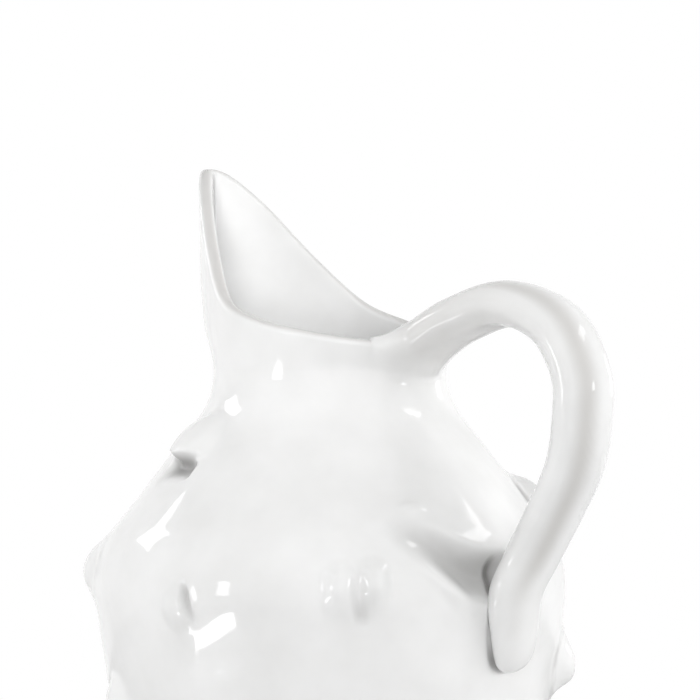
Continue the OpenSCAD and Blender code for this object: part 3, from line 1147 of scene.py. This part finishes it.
handle = dress(
    "strap_handle",
    strap_line,
    handle_tree(),
    Wall=vessel,
    Columns=strap_columns,
    Steps=strap_steps,
    Sink=strap_sink,
    GrooveDepth=groove_depth,
    UnderShare=under_share,
    LipHeight=lip_back_z - lip_r,
    SlipPlace=slip_place,
    SlipFilm=slip_film,
    SlipEdge=-slip_edge,
    SlipDepth=-slip_depth,
    Glaze=glaze,
)
blending = handle.modifiers.new("blending", "REMESH")
blending.mode = "VOXEL"
blending.voxel_size = strap_grain
blending.use_smooth_shade = True
softening = handle.modifiers.new("softening", "SMOOTH")
softening.factor = softening_factor
softening.iterations = softening_rounds


def seam_tree():
    """Paints shade in bands on the remeshed strap and blends its ends into the wall."""
    tree, given = new_tree(
        "seam",
        Wall="Object",
        PadSeam="Float",
        RootSeam="Float",
        Middle="Vector",
        RidgeSide="Float",
        RidgeWidth="Float",
        RidgeWear="Float",
        ArchWear="Float",
        Glaze="Material",
    )
    wall = shape_of(tree, given["Wall"])
    at = here(tree)
    out, _, height = add(tree, "ShaderNodeSeparateXYZ", at)
    seam = ranged(tree, height, pad_seam_z, root_seam_z, given["PadSeam"], given["RootSeam"])
    square = normal_here(tree)
    from_middle = unit(tree, vector(tree, "SUBTRACT", at, given["Middle"]))
    # Painted shade in a band along the strap's outside and over its arch, where less light falls.
    outer = eased(tree, vector(tree, "DOT_PRODUCT", square, from_middle), *ridge_turn)
    side = add(tree, "ShaderNodeSeparateXYZ", square)[1]
    off_ridge = number(tree, "ABSOLUTE", minus(tree, side, given["RidgeSide"]))
    ridge = eased(tree, off_ridge, 0.0, given["RidgeWidth"], 1.0, 0.0)
    gap = gap_to(tree, wall)
    ridge = times(tree, ridge, outer, ranged(tree, gap, *ridge_gap), given["RidgeWear"])
    arch = ranged(tree, out, *arch_x, given["ArchWear"], 0.0)
    arch = times(tree, arch, ranged(tree, gap, *arch_gap), ranged(tree, height, *arch_z))
    band_shade = number(tree, "MAXIMUM", ridge, arch)
    strap = keep_reading(tree, given["Geometry"], "painted_band_shade", band_shade)
    finish_tree(tree, blend_into(tree, strap, wall, seam), given["Glaze"])
    return tree


work_up(
    handle,
    seam_tree(),
    Wall=vessel,
    PadSeam=pad_seam,
    RootSeam=root_seam,
    Middle=handle_middle,
    RidgeSide=ridge_side,
    RidgeWidth=ridge_width,
    RidgeWear=ridge_shade,
    ArchWear=arch_shade,
    Glaze=glaze,
)
settle(handle)
bpy.data.objects.remove(slip_place)
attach(handle, "root")
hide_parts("handle")


# The camera: a long lens, level with the neck and turned from the jug's side towards the handle. The lower
# edge of the frame cuts the belly off below its widest line.
view_azimuth = math.radians(42)
view_distance = 1.1
view_height = 0.171
view_offset = 0.00604
view_width = 0.2224
sensor_width = 36.0
toward_camera = Vector((math.sin(view_azimuth), -math.cos(view_azimuth), 0))
to_the_right = Vector((math.cos(view_azimuth), math.sin(view_azimuth), 0))
camera = put_in_scene("camera", bpy.data.cameras.new("camera"))
camera.data.sensor_width = sensor_width
camera.data.lens = sensor_width * view_distance / view_width
aim = to_the_right * view_offset + Vector((0, 0, view_height))
camera.location = aim + toward_camera * view_distance
camera.rotation_euler = (-toward_camera).to_track_quat("-Z", "Y").to_euler()
bpy.context.scene.camera = camera
bpy.context.scene.view_settings.view_transform = "Standard"

# The floor: a pale disc under the jug, painted matt, so that it takes the jug's shadow and shows no
# bright patch of its own.
floor_r = 0.5
floor_sides = 96
floor_grey = (0.86, 0.86, 0.86, 1)
floor_mesh = bpy.data.meshes.new("floor")
rim_turns = spread(0, 2 * math.pi, floor_sides)[:-1]
rim = [(floor_r * math.cos(a), floor_r * math.sin(a), 0) for a in rim_turns]
floor_mesh.from_pydata(rim, [], [list(range(len(rim)))])
floor_paint = bpy.data.materials.new("floor_paint")
floor_paint.use_nodes = True
floor_shader = floor_paint.node_tree.nodes["Principled BSDF"]
floor_shader.inputs["Base Color"].default_value = floor_grey
floor_shader.inputs["Specular IOR Level"].default_value = 0
floor_mesh.materials.append(floor_paint)
floor = put_in_scene("floor", floor_mesh)

# The studio: plain white all round, as the camera sees it and as the gloss mirrors it. The light that the
# white of the glaze scatters comes from the lamps alone.
studio = bpy.data.worlds.new("studio")
studio.use_nodes = True
bpy.context.scene.world = studio
tree = studio.node_tree
backdrop = tree.nodes["Background"]
backdrop.inputs["Color"].default_value = (1, 1, 1, 1)
ray = tree.nodes.new("ShaderNodeLightPath").outputs
seen = number(tree, "MAXIMUM", ray["Is Camera Ray"], ray["Is Glossy Ray"])
seen = number(tree, "MAXIMUM", seen, ray["Is Transmission Ray"])
tree.links.new(seen, backdrop.inputs["Strength"])

# The lamps: soft panels and cards that only light the jug, and small windows that only show in its gloss.
# A row: name, turn right of the camera, angle up, distance, width, height, level, in the gloss or not.
lamps = (
    ("right_back_panel", 120, 5, 1.6, 0.85, 0.85, 0.45, False),
    ("right_panel", 90, 5, 1.6, 0.85, 0.85, 0.3, False),
    ("right_front_panel", 60, 5, 1.6, 0.85, 0.85, 0.1, False),
    ("left_back_panel", -120, 5, 1.6, 0.85, 0.85, 0.3, False),
    ("back_panel", -150, 5, 1.6, 0.85, 0.85, 0.4, False),
    ("back_top_panel", 180, 45, 1.6, 0.85, 0.85, 0.17, False),
    ("front_panel", 0, 5, 1.6, 0.85, 0.85, 0.55, False),
    ("mouth_card", -30, 54, 0.45, 0.2, 0.2, 0.37, False),
    ("left_card", -80, 8, 0.5, 0.28, 0.28, 0.28, False),
    ("right_top_card", 60, 45, 0.55, 0.28, 0.28, 0.24, False),
    ("left_back_window", -113.6, 27, 0.9, 0.26, 0.26, 0.09, True),
    ("left_window", -54, 5, 0.9, 0.16, 0.2, 0.07, True),
    ("low_left_window", -50.5, -26.6, 0.28, 0.085, 0.02, 0.055, True),
    ("right_front_window", 72, 8, 0.9, 0.12, 0.12, 0.03, True),
    ("right_window", 95.2, 39.6, 0.9, 0.3, 0.1, 0.035, True),
    ("right_back_window", 130, 8, 0.9, 0.12, 0.24, 0.03, True),
)
full_level = math.pi**2
aim_z = 0.14
jug_middle = Vector((0, 0, aim_z))
for name, turn, rise, away, width, height, level, in_gloss in lamps:
    lamp = put_in_scene(name, bpy.data.lights.new(name, "AREA"))
    lamp.data.shape = "RECTANGLE"
    lamp.data.size = width
    lamp.data.size_y = height
    lamp.data.energy = full_level * level * away**2
    lamp.visible_glossy = in_gloss
    lamp.visible_diffuse = not in_gloss
    level_way = to_the_right * math.sin(math.radians(turn)) + toward_camera * math.cos(math.radians(turn))
    bearing = level_way * math.cos(math.radians(rise)) + Vector((0, 0, math.sin(math.radians(rise))))
    lamp.location = jug_middle + bearing * away
    lamp.rotation_euler = bearing.to_track_quat("Z", "Y").to_euler()
